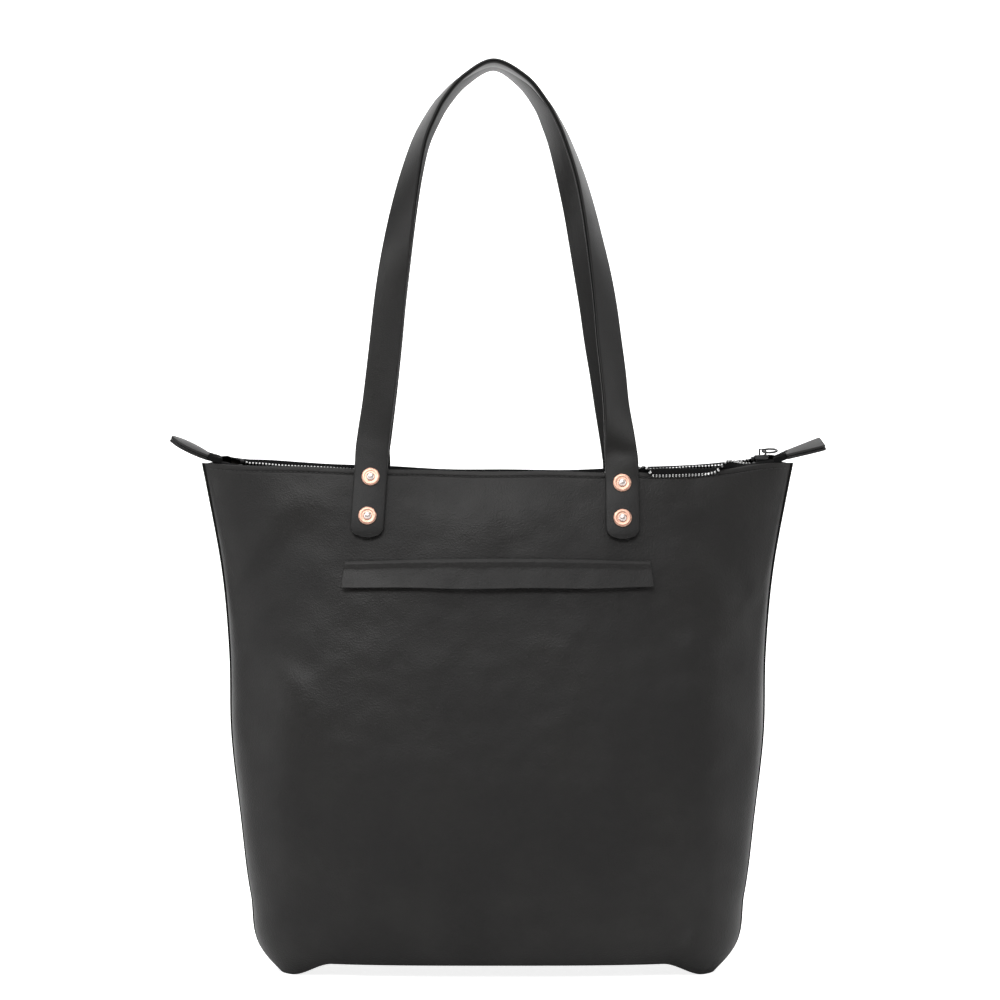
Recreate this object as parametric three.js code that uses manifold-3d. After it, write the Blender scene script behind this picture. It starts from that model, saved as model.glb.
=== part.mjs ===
// Black leather zip-top tote used as a changing bag.
// Millimetres, +Z up, front towards -Y, origin on the floor under the middle of the bag.
import * as THREE from "three";
import { mergeVertices } from "three/addons/utils/BufferGeometryUtils.js";
import Module from "manifold-3d";

const wasm = await Module();
wasm.setup();

// ---- Driving dimensions ----

// Bag wall: half-width and half-depth against height, floor to rim corner.
const HALF_WIDTHS = [[0, 168], [12, 179], [58, 190], [120, 198], [182, 205], [243, 206.5], [305, 212], [366, 223], [391, 228]];
const HALF_DEPTHS = [[0, 52], [12, 60], [60, 67], [120, 68], [200, 60], [280, 46], [340, 34], [391, 24]];
const RIM_CORNER_Z = 391;
const RIM_DIP = 7;
const BASE_SQUARENESS = 3;
const RIM_SQUARENESS = 2.2;
const SQUARE_BELOW_Z = 120;
const LEATHER = 1.8;
const HALF_SEAM_GAP = 0.15;

// Base: the middle is drawn up off the floor, so the bag stands on its four corners.
const BASE_LIFT = 10;
const BASE_LIFT_FULL_X = 125;
const BASE_LIFT_END_X = 157;
const BASE_LIFT_TOP_Z = 50;

// Wall mesh: column positions as a share of the half-width, row heights, and base rows.
const COLUMNS = [0, 0.17, 0.34, 0.5, 0.63, 0.74, 0.83, 0.9, 0.95, 0.98, 1];
const WALL_ROWS = [355, 334, 310, 280, 245, 210, 175, 140, 105, 72, 42, 22, 8, 0];
const BASE_ROWS = [0.66, 0.33, 0];

// Rim: zip tape held between the wall and an inner facing.
const TAPE_INSET = 2.4;
const TAPE_THICKNESS = 0.6;
const TAPE_BELOW_RIM = 6;
const TAPE_ABOVE_RIM = 1.5;
const TAPE_END_RISE = 5;
const TAPE_END_X = 217.5;
const FACING_INSET = 3.5;
const FACING_THICKNESS = 1.2;
const FACING_DEPTH = 52;
const FACING_TOP_DROP = 0.5;
const FACING_END_X = 208;

// Zip: tooth rows on the tape edges, end stops, slider and pull ring.
const TOOTH_ROW_END_X = 194;
const TEETH_PER_ROW = 40;
const TOOTH_WIDTH = 2.4;
const TOOTH_HEIGHT = 2.3;
const TOOTH_NOTCH = 1.1;
const STOP_LENGTH = 2.6;
const SLIDER_X = 203;
const SLIDER_LENGTH = 11;
const SLIDER_TOP_Z = 396;
const RING_RADIUS = 5;
const RING_WIRE = 0.7;
const RING_TILT = 15;
const RING_ROLL = 22;

// End tabs: two leather layers over the joined tape ends.
const TAB_PIVOT_X = 221.5;
const TAB_PIVOT_Z = 395.5;
const TAB_REACH_X = 250.6;
const LEFT_TAB_ANGLE = 27;
const LEFT_TAB_ROLL = 12;
const RIGHT_TAB_ANGLE = 17;
const RIGHT_TAB_ROLL = 17;
const TAB_LAYER = 1.8;
const TAIL_THICKNESS = 1;
const TAB_HALF_WIDTH_IN = 5;
const TAB_HALF_WIDTH_OUT = 12;

// Straps: riveted ends on the wall, and the loop above them.
const STRAP_WIDTH = 25.4;
const STRAP_THICKNESS = 3.6;
const STRAP_X = 96;
const STRAP_END_Z = 363;
const STRAP_END_UP = 28;
const STRAP_END_DOWN = 29.5;
const STRAP_END_RADIUS = 9;
const STRAP_GAP = 0.3;
const LOOP_GAP = 0.5;
const LOOP_PATH = [[91, 460, 16.8], [80.5, 528, 15], [66.5, 602, 14.4], [52, 648, 14.2], [29, 683, 14.2], [0, 697, 14.2]];
const LOOP_STATIONS = 52;
const TWIST_START = 0.08;

// Rivets: head inside the facing, shank through every layer, peened over a burr outside.
const RIVET_UP = 14.7;
const SHANK_RADIUS = 1.8;
const HOLE_RADIUS = 2.1;
const HEAD_RADIUS = 5;
const BURR_RADIUS = 6.8;
const DOME_RADIUS = 2.9;
const ROUND_SEGMENTS = 12;

// Front pocket: a slit under a lifting flap, with a flat pouch inside.
const FLAP_TOP_Z = 315;
const FLAP_HEIGHT = 20;
const FLAP_THICKNESS = 2.2;
const FLAP_STAND_OFF = 3.2;
const FLAP_HALF_TOP = 116;
const FLAP_HALF_BOTTOM = 118;
const SLIT_Z = 309;
const SLIT_HEIGHT = 3.4;
const SLIT_HALF_LENGTH = 110;
const POUCH_HALF_WIDTH = 112;
const POUCH_BOTTOM_Z = 190;
const POUCH_CLOTH = 0.8;
const POUCH_GAP = 3;

// ---- Materials ----

const material = (color, roughness, metalness = 0) => new THREE.MeshStandardMaterial({ color, roughness, metalness });
const LOOKS = {
  leather: () => material(0x1d1a19, 0.55),
  strap: () => material(0x191716, 0.5),
  suede: () => material(0x2b2725, 0.95),
  cloth: () => material(0x17171a, 0.9),
  tape: () => material(0x101012, 0.85),
  teeth: () => material(0xc3c5c8, 0.3, 1),
  nickel: () => material(0x8f9194, 0.25, 1),
  copper: () => material(0xb26a48, 0.35, 1),
};

// ---- Shape helpers ----

const group = new THREE.Group();
group.name = "zip_top_tote";

function addPiece(name, geometry, look) {
  const mesh = new THREE.Mesh(geometry, LOOKS[look]());
  mesh.name = name;
  group.add(mesh);
  return mesh;
}

// Smooth value between listed [height, value] pairs.
function smoothValue(pairs, height) {
  const last = pairs.length - 1;
  if (height >= pairs[last][0]) return pairs[last][1];
  if (height <= pairs[0][0]) return pairs[0][1];
  let i = 0;
  while (height > pairs[i + 1][0]) i += 1;
  const slope = (k) => {
    const a = Math.max(k - 1, 0);
    const b = Math.min(k + 1, last);
    return (pairs[b][1] - pairs[a][1]) / (pairs[b][0] - pairs[a][0]);
  };
  const span = pairs[i + 1][0] - pairs[i][0];
  const t = (height - pairs[i][0]) / span;
  const rise = pairs[i + 1][1] - pairs[i][1];
  const bend = (1 - t) * (slope(i) * span - rise) - t * (slope(i + 1) * span - rise);
  return pairs[i][1] + t * rise + t * (1 - t) * bend;
}

const halfWidth = (z) => smoothValue(HALF_WIDTHS, z);
const halfDepth = (z) => smoothValue(HALF_DEPTHS, z);
const rimZ = (x) => RIM_CORNER_Z - RIM_DIP * (1 - Math.min(1, (x / halfWidth(RIM_CORNER_Z)) ** 2));

function squareness(z) {
  const share = THREE.MathUtils.clamp((z - SQUARE_BELOW_Z) / (RIM_CORNER_Z - SQUARE_BELOW_Z), 0, 1);
  return THREE.MathUtils.lerp(BASE_SQUARENESS, RIM_SQUARENESS, share);
}

// Y of the front wall at x and z, moved inwards by inset.
function wallY(x, z, inset = 0) {
  const n = squareness(z);
  const share = Math.min(1, Math.abs(x) / (halfWidth(z) - inset));
  return -(HALF_SEAM_GAP + (halfDepth(z) - inset - HALF_SEAM_GAP) * (1 - share ** n) ** (1 / n));
}

// Y of the finished wall at x and z: above the first wall row the section is squeezed down to the dipped rim.
function surfaceY(x, z, inset = 0) {
  const free = WALL_ROWS[0];
  const level = z > free ? free + ((z - free) * (RIM_CORNER_Z - free)) / (rimZ(x) - free) : z;
  return wallY(x, level, inset);
}

// Lift of the base at x, fading out up the wall.
function baseLift(x, z) {
  const share = THREE.MathUtils.smoothstep(BASE_LIFT_END_X - Math.abs(x), 0, BASE_LIFT_END_X - BASE_LIFT_FULL_X);
  return BASE_LIFT * share * Math.max(0, 1 - z / BASE_LIFT_TOP_Z);
}

// Closed geometry from a triangle list of Vector3, turned to face out; collapsed triangles are dropped.
function closedGeometry(triangles) {
  const same = (a, b) => a.distanceToSquared(b) < 1e-8;
  const kept = triangles.filter(([a, b, c]) => !same(a, b) && !same(b, c) && !same(c, a));
  const volume = kept.reduce((sum, [a, b, c]) => sum + a.dot(b.clone().cross(c)), 0);
  const points = kept.flatMap(([a, b, c]) => (volume < 0 ? [a, c, b] : [a, b, c]));
  return new THREE.BufferGeometry().setFromPoints(points);
}

// Solid between two grids: pointAt(column, row, face) with face 0 outside and 1 inside.
function sheet(columns, rows, pointAt) {
  const grid = [0, 1].map((face) => columns.map((u) => rows.map((v) => pointAt(u, v, face))));
  const triangles = [];
  const quad = (a, b, c, d) => triangles.push([a, b, c], [a, c, d]);
  const [outside, inside] = grid;
  const lastColumn = columns.length - 1;
  const lastRow = rows.length - 1;
  for (let i = 0; i < lastColumn; i += 1) {
    for (let j = 0; j < lastRow; j += 1) {
      quad(outside[i][j], outside[i][j + 1], outside[i + 1][j + 1], outside[i + 1][j]);
      quad(inside[i][j], inside[i + 1][j], inside[i + 1][j + 1], inside[i][j + 1]);
    }
    quad(outside[i][0], outside[i + 1][0], inside[i + 1][0], inside[i][0]);
    quad(outside[i][lastRow], inside[i][lastRow], inside[i + 1][lastRow], outside[i + 1][lastRow]);
  }
  for (let j = 0; j < lastRow; j += 1) {
    quad(outside[0][j], inside[0][j], inside[0][j + 1], outside[0][j + 1]);
    quad(outside[lastColumn][j], outside[lastColumn][j + 1], inside[lastColumn][j + 1], inside[lastColumn][j]);
  }
  return closedGeometry(triangles);
}

const evenly = (from, to, steps) => Array.from({ length: steps + 1 }, (_, i) => from + ((to - from) * i) / steps);
const bothSides = (shares) => [...shares.slice(1).reverse().map((s) => -s), ...shares];

function toManifold(geometry) {
  const bare = geometry.clone();
  bare.deleteAttribute("normal");
  bare.deleteAttribute("uv");
  const merged = mergeVertices(bare, 1e-3);
  return new wasm.Manifold(
    new wasm.Mesh({
      numProp: 3,
      vertProperties: merged.attributes.position.array,
      triVerts: new Uint32Array(merged.index.array),
    }),
  );
}

function fromManifold(solid) {
  const mesh = solid.getMesh();
  const geometry = new THREE.BufferGeometry();
  geometry.setAttribute("position", new THREE.BufferAttribute(new Float32Array(mesh.vertProperties), 3));
  geometry.setIndex(new THREE.BufferAttribute(new Uint32Array(mesh.triVerts), 1));
  return geometry.toNonIndexed();
}

const cutFrom = (geometry, cutters) =>
  fromManifold(cutters.reduce((left, cutter) => left.subtract(toManifold(cutter)), toManifold(geometry)));

const joined = (geometries) =>
  fromManifold(geometries.slice(1).reduce((sum, next) => sum.add(toManifold(next)), toManifold(geometries[0])));

function box(sizeX, sizeY, sizeZ, x, y, z) {
  return new THREE.BoxGeometry(sizeX, sizeY, sizeZ).translate(x, y, z);
}

// Lathe about local Z from [radius, height] pairs.
function turned(profile, segments = ROUND_SEGMENTS) {
  const points = profile.map(([radius, height]) => new THREE.Vector2(radius, height));
  return new THREE.LatheGeometry(points, segments).rotateX(Math.PI / 2);
}

// The same piece on the other side of the XZ plane, still facing out.
function mirroredY(geometry) {
  const flipped = geometry.clone().scale(1, -1, 1);
  const position = flipped.index ? flipped.toNonIndexed().attributes.position : flipped.attributes.position;
  const triangles = [];
  for (let i = 0; i < position.count; i += 3) {
    triangles.push([0, 1, 2].map((k) => new THREE.Vector3().fromBufferAttribute(position, i + k)));
  }
  return closedGeometry(triangles);
}

// ---- Strap end stations: local X across the strap, local Y up the wall, local Z outwards ----

function wallFrame(x, z) {
  const step = 1;
  const slopeX = (surfaceY(x + step, z) - surfaceY(x - step, z)) / (2 * step);
  const slopeZ = (surfaceY(x, z + step) - surfaceY(x, z - step)) / (2 * step);
  const out = new THREE.Vector3(slopeX, -1, slopeZ).normalize();
  const across = new THREE.Vector3(1, slopeX, 0).normalize();
  const up = new THREE.Vector3().crossVectors(out, across);
  return new THREE.Matrix4().makeBasis(across, up, out).setPosition(x, surfaceY(x, z), z);
}

const strapFrames = { left: wallFrame(-STRAP_X, STRAP_END_Z), right: wallFrame(STRAP_X, STRAP_END_Z) };
const RIVETS = { upper: RIVET_UP, lower: -RIVET_UP };

function rivetHoles() {
  const drill = turned([[0, -12], [HOLE_RADIUS, -12], [HOLE_RADIUS, 12], [0, 12]]);
  return Object.values(strapFrames).flatMap((frame) =>
    Object.values(RIVETS).map((up) => drill.clone().translate(0, up, 0).applyMatrix4(frame)),
  );
}

// ---- Leather walls ----

// Half of the bag: front wall, half the sides and half the base in one piece of leather.
function halfBag() {
  const rows = [{ rim: true }, ...WALL_ROWS.map((z) => ({ z })), ...BASE_ROWS.map((reach) => ({ z: 0, reach }))];
  const last = WALL_ROWS[WALL_ROWS.length - 1];
  return sheet(bothSides(COLUMNS), rows, (share, row, face) => {
    const inset = face * LEATHER;
    const level = row.rim ? RIM_CORNER_Z : row.z;
    const x = share * (halfWidth(level) - inset);
    const reach = row.reach ?? 1;
    const y = -HALF_SEAM_GAP + (wallY(x, level, inset) + HALF_SEAM_GAP) * reach;
    const floorUp = level === last ? inset : 0;
    const z = row.rim ? rimZ(x) : level + baseLift(x, level) + floorUp;
    return new THREE.Vector3(x, y, z);
  });
}

const holes = rivetHoles();
const slit = box(2 * SLIT_HALF_LENGTH, 60, SLIT_HEIGHT, 0, -45, SLIT_Z);
addPiece("front_panel", cutFrom(halfBag(), [...holes, slit]), "leather");
addPiece("back_panel", mirroredY(cutFrom(halfBag(), holes)), "leather");

// Facing: a band inside the rim that covers the tape and carries the rivet heads.
function rimFacing() {
  const columns = bothSides(COLUMNS.slice(0, -1)).map((share) => (share / COLUMNS[COLUMNS.length - 2]) * FACING_END_X);
  const band = sheet(columns, [0, 0.5, 1, 1.5, 2], (x, step, face) => {
    const [from, to] = step < 1 ? [rimZ(x) - FACING_TOP_DROP, WALL_ROWS[0]] : [WALL_ROWS[0], rimZ(x) - FACING_DEPTH];
    const z = THREE.MathUtils.lerp(from, to, step < 1 ? step : step - 1);
    const reach = (x * halfWidth(z)) / halfWidth(RIM_CORNER_Z);
    return new THREE.Vector3(reach, surfaceY(reach, z, FACING_INSET + face * FACING_THICKNESS), z);
  });
  return cutFrom(band, holes);
}
addPiece("front_rim_facing", rimFacing(), "suede");
addPiece("back_rim_facing", mirroredY(rimFacing()), "suede");

// ---- Zip ----

const tapeTop = (x) => rimZ(x) + TAPE_ABOVE_RIM + TAPE_END_RISE * THREE.MathUtils.smoothstep(Math.abs(x), TOOTH_ROW_END_X + 6, TAPE_END_X);

function zipTape() {
  const columns = evenly(-TAPE_END_X, TAPE_END_X, 30);
  return sheet(columns, [0, 1, 2], (x, row, face) => {
    const z = [tapeTop(x), rimZ(x), rimZ(x) - TAPE_BELOW_RIM][row];
    return new THREE.Vector3(x, surfaceY(x, z, TAPE_INSET + face * TAPE_THICKNESS), z);
  });
}
addPiece("front_zip_tape", zipTape(), "tape");
addPiece("back_zip_tape", mirroredY(zipTape()), "tape");

// Row of teeth clamped on the tape edge; every second station is a notch.
function toothRow() {
  const columns = evenly(-TOOTH_ROW_END_X, TOOTH_ROW_END_X, 2 * TEETH_PER_ROW);
  const middle = TAPE_INSET + TAPE_THICKNESS / 2;
  return sheet(columns, [0, 1], (x, row, face) => {
    const station = Math.round(((x + TOOTH_ROW_END_X) / (2 * TOOTH_ROW_END_X)) * 2 * TEETH_PER_ROW);
    const height = station % 2 ? TOOTH_NOTCH : TOOTH_HEIGHT;
    const bottom = rimZ(x) + TAPE_ABOVE_RIM + 0.35;
    const inset = middle + (face - 0.5) * TOOTH_WIDTH;
    return new THREE.Vector3(x, surfaceY(x, rimZ(x), inset), row ? bottom : bottom + height);
  });
}
addPiece("front_zip_teeth", toothRow(), "teeth");
addPiece("back_zip_teeth", mirroredY(toothRow()), "teeth");

// End stop: a folded metal clip on each tape just past the last tooth on the left.
function endStop() {
  const from = -TOOTH_ROW_END_X - 0.5 - STOP_LENGTH;
  const middle = TAPE_INSET + TAPE_THICKNESS / 2;
  return sheet([from, from + STOP_LENGTH], [0.6, 2.9], (x, up, face) => {
    const inset = middle + (face - 0.5) * TOOTH_WIDTH;
    return new THREE.Vector3(x, surfaceY(x, rimZ(x), inset), tapeTop(x) + up);
  });
}
addPiece("front_zip_stop", endStop(), "nickel");
addPiece("back_zip_stop", mirroredY(endStop()), "nickel");

// Slider: two plates joined by a web, with a lug on top that holds the ring.
const lugX = SLIDER_X + 1;
const lugZ = SLIDER_TOP_Z + 2.2;
const slider = cutFrom(
  joined([
    box(SLIDER_LENGTH, 11, 1.8, SLIDER_X, 0, SLIDER_TOP_Z - 0.9),
    box(SLIDER_LENGTH - 3, 2.4, 9, SLIDER_X, 0, SLIDER_TOP_Z - 5.5),
    box(SLIDER_LENGTH, 8, 1.6, SLIDER_X, 0, SLIDER_TOP_Z - 9.4),
    box(6, 2.6, 5.2, lugX, 0, SLIDER_TOP_Z + 2.4),
  ]),
  [box(3.2, 8, 3.2, lugX, 0, lugZ)],
);
addPiece("zip_slider", slider, "nickel");

const ring = new THREE.TorusGeometry(RING_RADIUS, RING_WIRE, 6, 20)
  .translate(RING_RADIUS, 0, 0)
  .rotateX(THREE.MathUtils.degToRad(RING_ROLL))
  .rotateY(-THREE.MathUtils.degToRad(RING_TILT))
  .translate(lugX, 0, lugZ);
addPiece("slider_ring", ring, "nickel");

// End tabs: flat leather outline pointing along +X from the pivot, one layer above and one below the tape ends,
// rolled so that the front edge hangs a little lower than the back edge.
function tabPiece(side, angle, roll, thickness, height, shrink) {
  const length = (TAB_REACH_X - TAB_PIVOT_X) / Math.cos(THREE.MathUtils.degToRad(angle));
  const inner = TAB_HALF_WIDTH_IN - shrink;
  const outer = TAB_HALF_WIDTH_OUT - shrink;
  const tip = length - shrink;
  const corner = 4;
  const outline = new THREE.Shape();
  outline.moveTo(0.6, -inner);
  outline.lineTo(tip - corner, -outer);
  outline.quadraticCurveTo(tip, -outer, tip, corner - outer);
  outline.lineTo(tip, outer - corner);
  outline.quadraticCurveTo(tip, outer, tip - corner, outer);
  outline.lineTo(0.6, inner);
  outline.closePath();
  return new THREE.ExtrudeGeometry(outline, { depth: thickness, bevelEnabled: false, curveSegments: 3 })
    .translate(0, 0, height)
    .rotateX(side * THREE.MathUtils.degToRad(roll))
    .rotateY(-THREE.MathUtils.degToRad(angle))
    .rotateZ(side < 0 ? Math.PI : 0)
    .translate(side * TAB_PIVOT_X, 0, TAB_PIVOT_Z);
}
const TAB_STACK = [
  ["tab_top", TAB_LAYER, TAIL_THICKNESS / 2 + 0.25, 0, "leather"],
  ["tape_tail", TAIL_THICKNESS, -TAIL_THICKNESS / 2, 3, "tape"],
  ["tab_bottom", TAB_LAYER, -TAIL_THICKNESS / 2 - 0.25 - TAB_LAYER, 0, "leather"],
];
const TABS = [
  ["left", -1, LEFT_TAB_ANGLE, LEFT_TAB_ROLL],
  ["right", 1, RIGHT_TAB_ANGLE, RIGHT_TAB_ROLL],
];
for (const [sideName, side, angle, roll] of TABS) {
  for (const [name, thickness, height, shrink, look] of TAB_STACK) {
    addPiece(sideName + "_" + name, tabPiece(side, angle, roll, thickness, height, shrink), look);
  }
}

// ---- Handles ----

// Riveted strap end: square at the top, round-cornered below.
function strapEnd(frame) {
  const half = STRAP_WIDTH / 2;
  const outline = new THREE.Shape();
  outline.moveTo(-half, STRAP_END_UP);
  outline.lineTo(-half, STRAP_END_RADIUS - STRAP_END_DOWN);
  outline.absarc(STRAP_END_RADIUS - half, STRAP_END_RADIUS - STRAP_END_DOWN, STRAP_END_RADIUS, Math.PI, 1.5 * Math.PI);
  outline.absarc(half - STRAP_END_RADIUS, STRAP_END_RADIUS - STRAP_END_DOWN, STRAP_END_RADIUS, 1.5 * Math.PI, 2 * Math.PI);
  outline.lineTo(half, STRAP_END_UP);
  outline.closePath();
  const plate = new THREE.ExtrudeGeometry(outline, { depth: STRAP_THICKNESS, bevelEnabled: false, curveSegments: 5 })
    .translate(0, 0, STRAP_GAP)
    .applyMatrix4(frame);
  return cutFrom(plate, holes);
}

// Loop: the strap faces forwards at its ends and turns to face upwards at the top of the arch.
function strapLoop() {
  const start = new THREE.Vector3(0, STRAP_END_UP + LOOP_GAP, STRAP_GAP + STRAP_THICKNESS / 2);
  const right = start.clone().applyMatrix4(strapFrames.right);
  const rising = start.clone().add(new THREE.Vector3(0, 20, 0)).applyMatrix4(strapFrames.right);
  const leg = [right, rising, ...LOOP_PATH.map(([x, z, inward]) => new THREE.Vector3(x, -inward, z))];
  const otherLeg = leg.slice(0, -1).reverse().map((p) => new THREE.Vector3(-p.x, p.y, p.z));
  const path = new THREE.CatmullRomCurve3([...leg, ...otherLeg], false, "centripetal");
  const endNormal = new THREE.Vector3().setFromMatrixColumn(strapFrames.right, 2);
  return sheet(evenly(0, 1, LOOP_STATIONS), [-1, 1], (along, edge, face) => {
    const tangent = path.getTangentAt(along);
    const share = 1 - Math.abs(2 * along - 1);
    const twist = THREE.MathUtils.smoothstep(share, TWIST_START, 1.25) * 1.16;
    const turn = (Math.min(1, twist) * Math.PI) / 2;
    const outward = new THREE.Vector3(-tangent.z, 0, tangent.x).normalize().multiplyScalar(-1);
    const flat = endNormal.clone().setX(along < 0.5 ? endNormal.x : -endNormal.x);
    const normal = flat.multiplyScalar(Math.cos(turn)).addScaledVector(outward, Math.sin(turn));
    normal.addScaledVector(tangent, -normal.dot(tangent)).normalize();
    const across = new THREE.Vector3().crossVectors(tangent, normal).normalize();
    return path
      .getPointAt(along)
      .addScaledVector(across, (edge * STRAP_WIDTH) / 2)
      .addScaledVector(normal, (0.5 - face) * STRAP_THICKNESS);
  });
}
addPiece("front_handle_loop", strapLoop(), "strap");
addPiece("back_handle_loop", mirroredY(strapLoop()), "strap");
for (const [side, frame] of Object.entries(strapFrames)) {
  addPiece("front_strap_end_" + side, strapEnd(frame), "strap");
  addPiece("back_strap_end_" + side, mirroredY(strapEnd(frame)), "strap");
}

// Solid copper rivet: flat head inside, peened dome outside; the burr is a dished washer under the dome.
const outside = STRAP_GAP + STRAP_THICKNESS;
const headTop = -(FACING_INSET + FACING_THICKNESS) - 0.3;
const rivetProfile = [
  [0, headTop - 1.2],
  [HEAD_RADIUS, headTop - 0.9],
  [HEAD_RADIUS, headTop],
  [SHANK_RADIUS, headTop],
  [SHANK_RADIUS, outside + 1.9],
  [DOME_RADIUS, outside + 1.9],
  [0.7 * DOME_RADIUS, outside + 3],
  [0, outside + 3.3],
];
const burrProfile = [
  [HOLE_RADIUS, outside + 0.7],
  [BURR_RADIUS - 1, outside + 0.3],
  [BURR_RADIUS, outside + 0.5],
  [BURR_RADIUS - 1.2, outside + 1.4],
  [HOLE_RADIUS, outside + 1.6],
  [HOLE_RADIUS, outside + 0.7],
];
for (const [side, frame] of Object.entries(strapFrames)) {
  for (const [level, up] of Object.entries(RIVETS)) {
    const placed = (profile) => turned(profile).translate(0, up, 0).applyMatrix4(frame);
    addPiece(`front_rivet_${side}_${level}`, placed(rivetProfile), "copper");
    addPiece(`front_burr_${side}_${level}`, placed(burrProfile), "copper");
    addPiece(`back_rivet_${side}_${level}`, mirroredY(placed(rivetProfile)), "copper");
    addPiece(`back_burr_${side}_${level}`, mirroredY(placed(burrProfile)), "copper");
  }
}

// ---- Front pocket ----

// Flap: a welt sewn along its top edge that stands off the wall at the bottom.
const flap = sheet(evenly(-1, 1, 14), [0, 0.5, 1], (share, row, face) => {
  const x = share * THREE.MathUtils.lerp(FLAP_HALF_TOP, FLAP_HALF_BOTTOM, row);
  const z = FLAP_TOP_Z - row * FLAP_HEIGHT;
  const off = 0.4 + row * FLAP_STAND_OFF + (1 - face) * FLAP_THICKNESS;
  return new THREE.Vector3(x, wallY(x, z, -off), z);
});
addPiece("pocket_flap", flap, "leather");

// Pouch: two cloth layers, the inner one swelling away from the outer one between its edges.
function pouchLayer(topZ, inset, gap) {
  return sheet(evenly(-1, 1, 12), evenly(0, 1, 5), (share, row, face) => {
    const x = share * POUCH_HALF_WIDTH;
    const z = THREE.MathUtils.lerp(topZ, POUCH_BOTTOM_Z, row);
    const swell = gap * (1 - share ** 6) * (1 - row ** 6);
    return new THREE.Vector3(x, wallY(x, z, inset + swell + face * POUCH_CLOTH), z);
  });
}
const pouchInset = LEATHER + 0.6;
addPiece("pocket_front_layer", pouchLayer(SLIT_Z - SLIT_HEIGHT / 2 - 1, pouchInset, 0), "cloth");
addPiece("pocket_back_layer", pouchLayer(SLIT_Z + SLIT_HEIGHT / 2 + 5, pouchInset + POUCH_CLOTH + 0.4, POUCH_GAP), "cloth");

export default group;
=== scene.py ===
import math

import bmesh
import bpy
import numpy as np
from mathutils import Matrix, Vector, noise


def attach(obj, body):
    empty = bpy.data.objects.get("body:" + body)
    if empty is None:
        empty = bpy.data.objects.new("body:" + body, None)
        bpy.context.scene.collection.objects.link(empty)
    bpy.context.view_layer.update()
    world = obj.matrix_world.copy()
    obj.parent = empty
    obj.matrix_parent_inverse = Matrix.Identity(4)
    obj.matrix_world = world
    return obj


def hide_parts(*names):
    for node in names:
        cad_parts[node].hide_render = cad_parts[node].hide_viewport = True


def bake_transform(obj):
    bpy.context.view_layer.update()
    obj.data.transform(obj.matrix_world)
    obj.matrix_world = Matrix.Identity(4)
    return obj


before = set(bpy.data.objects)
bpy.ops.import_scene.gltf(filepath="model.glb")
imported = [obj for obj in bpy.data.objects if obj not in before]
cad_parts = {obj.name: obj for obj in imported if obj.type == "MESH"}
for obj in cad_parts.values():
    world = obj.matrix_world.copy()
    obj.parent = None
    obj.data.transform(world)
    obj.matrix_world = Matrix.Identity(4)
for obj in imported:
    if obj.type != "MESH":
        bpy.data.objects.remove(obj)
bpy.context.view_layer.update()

MM = 0.001


# Leather of the walls, straps and tabs.
# Black drummed cowhide: fine pebble grain, soft uneven rubs, raw edges inked black.
def shader_group(name, inputs, outputs):
    """Empty node group with float, colour or vector sockets."""
    group = bpy.data.node_groups.new(name, "ShaderNodeTree")
    for label, kind, default in inputs:
        socket = group.interface.new_socket(label, in_out="INPUT", socket_type="NodeSocket" + kind)
        if default is not None:
            socket.default_value = default
    for label, kind in outputs:
        group.interface.new_socket(label, in_out="OUTPUT", socket_type="NodeSocket" + kind)
    return group, group.nodes.new("NodeGroupInput"), group.nodes.new("NodeGroupOutput")


def math_node(group, operation, a, b=None):
    node = group.nodes.new("ShaderNodeMath")
    node.operation = operation
    for socket, value in zip(node.inputs, (a, b)):
        if value is None:
            continue
        if isinstance(value, (int, float)):
            socket.default_value = value
        else:
            group.links.new(value, socket)
    return node.outputs[0]


def noise_node(group, scale, detail, place, roughness=0.55):
    node = group.nodes.new("ShaderNodeTexNoise")
    node.inputs["Scale"].default_value = scale
    node.inputs["Detail"].default_value = detail
    node.inputs["Roughness"].default_value = roughness
    group.links.new(place, node.inputs["Vector"])
    return node.outputs["Fac"]


def grain_group():
    """Pebble grain of leather: a normal, a mask of soft rubs and a mask of grain valleys."""
    group, inward, outward = shader_group(
        "leather_grain",
        [("Grain Scale", "Float", 900.0), ("Grain Strength", "Float", 0.3), ("Rub Scale", "Float", 14.0)],
        [("Normal", "Vector"), ("Rub", "Float"), ("Valley", "Float")],
    )
    place = group.nodes.new("ShaderNodeTexCoord").outputs["Object"]
    cells = group.nodes.new("ShaderNodeTexVoronoi")
    cells.feature = "SMOOTH_F1"
    group.links.new(place, cells.inputs["Vector"])
    group.links.new(inward.outputs["Grain Scale"], cells.inputs["Scale"])
    fine = noise_node(group, 2600.0, 3.0, place)
    creased = noise_node(group, 160.0, 5.0, place, 0.65)
    height = math_node(group, "ADD", cells.outputs["Distance"], math_node(group, "MULTIPLY", fine, 0.35))
    height = math_node(group, "ADD", height, math_node(group, "MULTIPLY", creased, 0.8))
    bump = group.nodes.new("ShaderNodeBump")
    bump.inputs["Distance"].default_value = 0.0004
    group.links.new(inward.outputs["Grain Strength"], bump.inputs["Strength"])
    group.links.new(height, bump.inputs["Height"])
    rub = group.nodes.new("ShaderNodeTexNoise")
    rub.inputs["Detail"].default_value = 4.0
    group.links.new(place, rub.inputs["Vector"])
    group.links.new(inward.outputs["Rub Scale"], rub.inputs["Scale"])
    soft = group.nodes.new("ShaderNodeMapRange")
    soft.inputs["From Min"].default_value = 0.42
    soft.inputs["From Max"].default_value = 0.68
    group.links.new(rub.outputs["Fac"], soft.inputs["Value"])
    group.links.new(bump.outputs["Normal"], outward.inputs["Normal"])
    group.links.new(soft.outputs["Result"], outward.inputs["Rub"])
    group.links.new(cells.outputs["Distance"], outward.inputs["Valley"])
    return group


GRAIN = grain_group()


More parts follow.
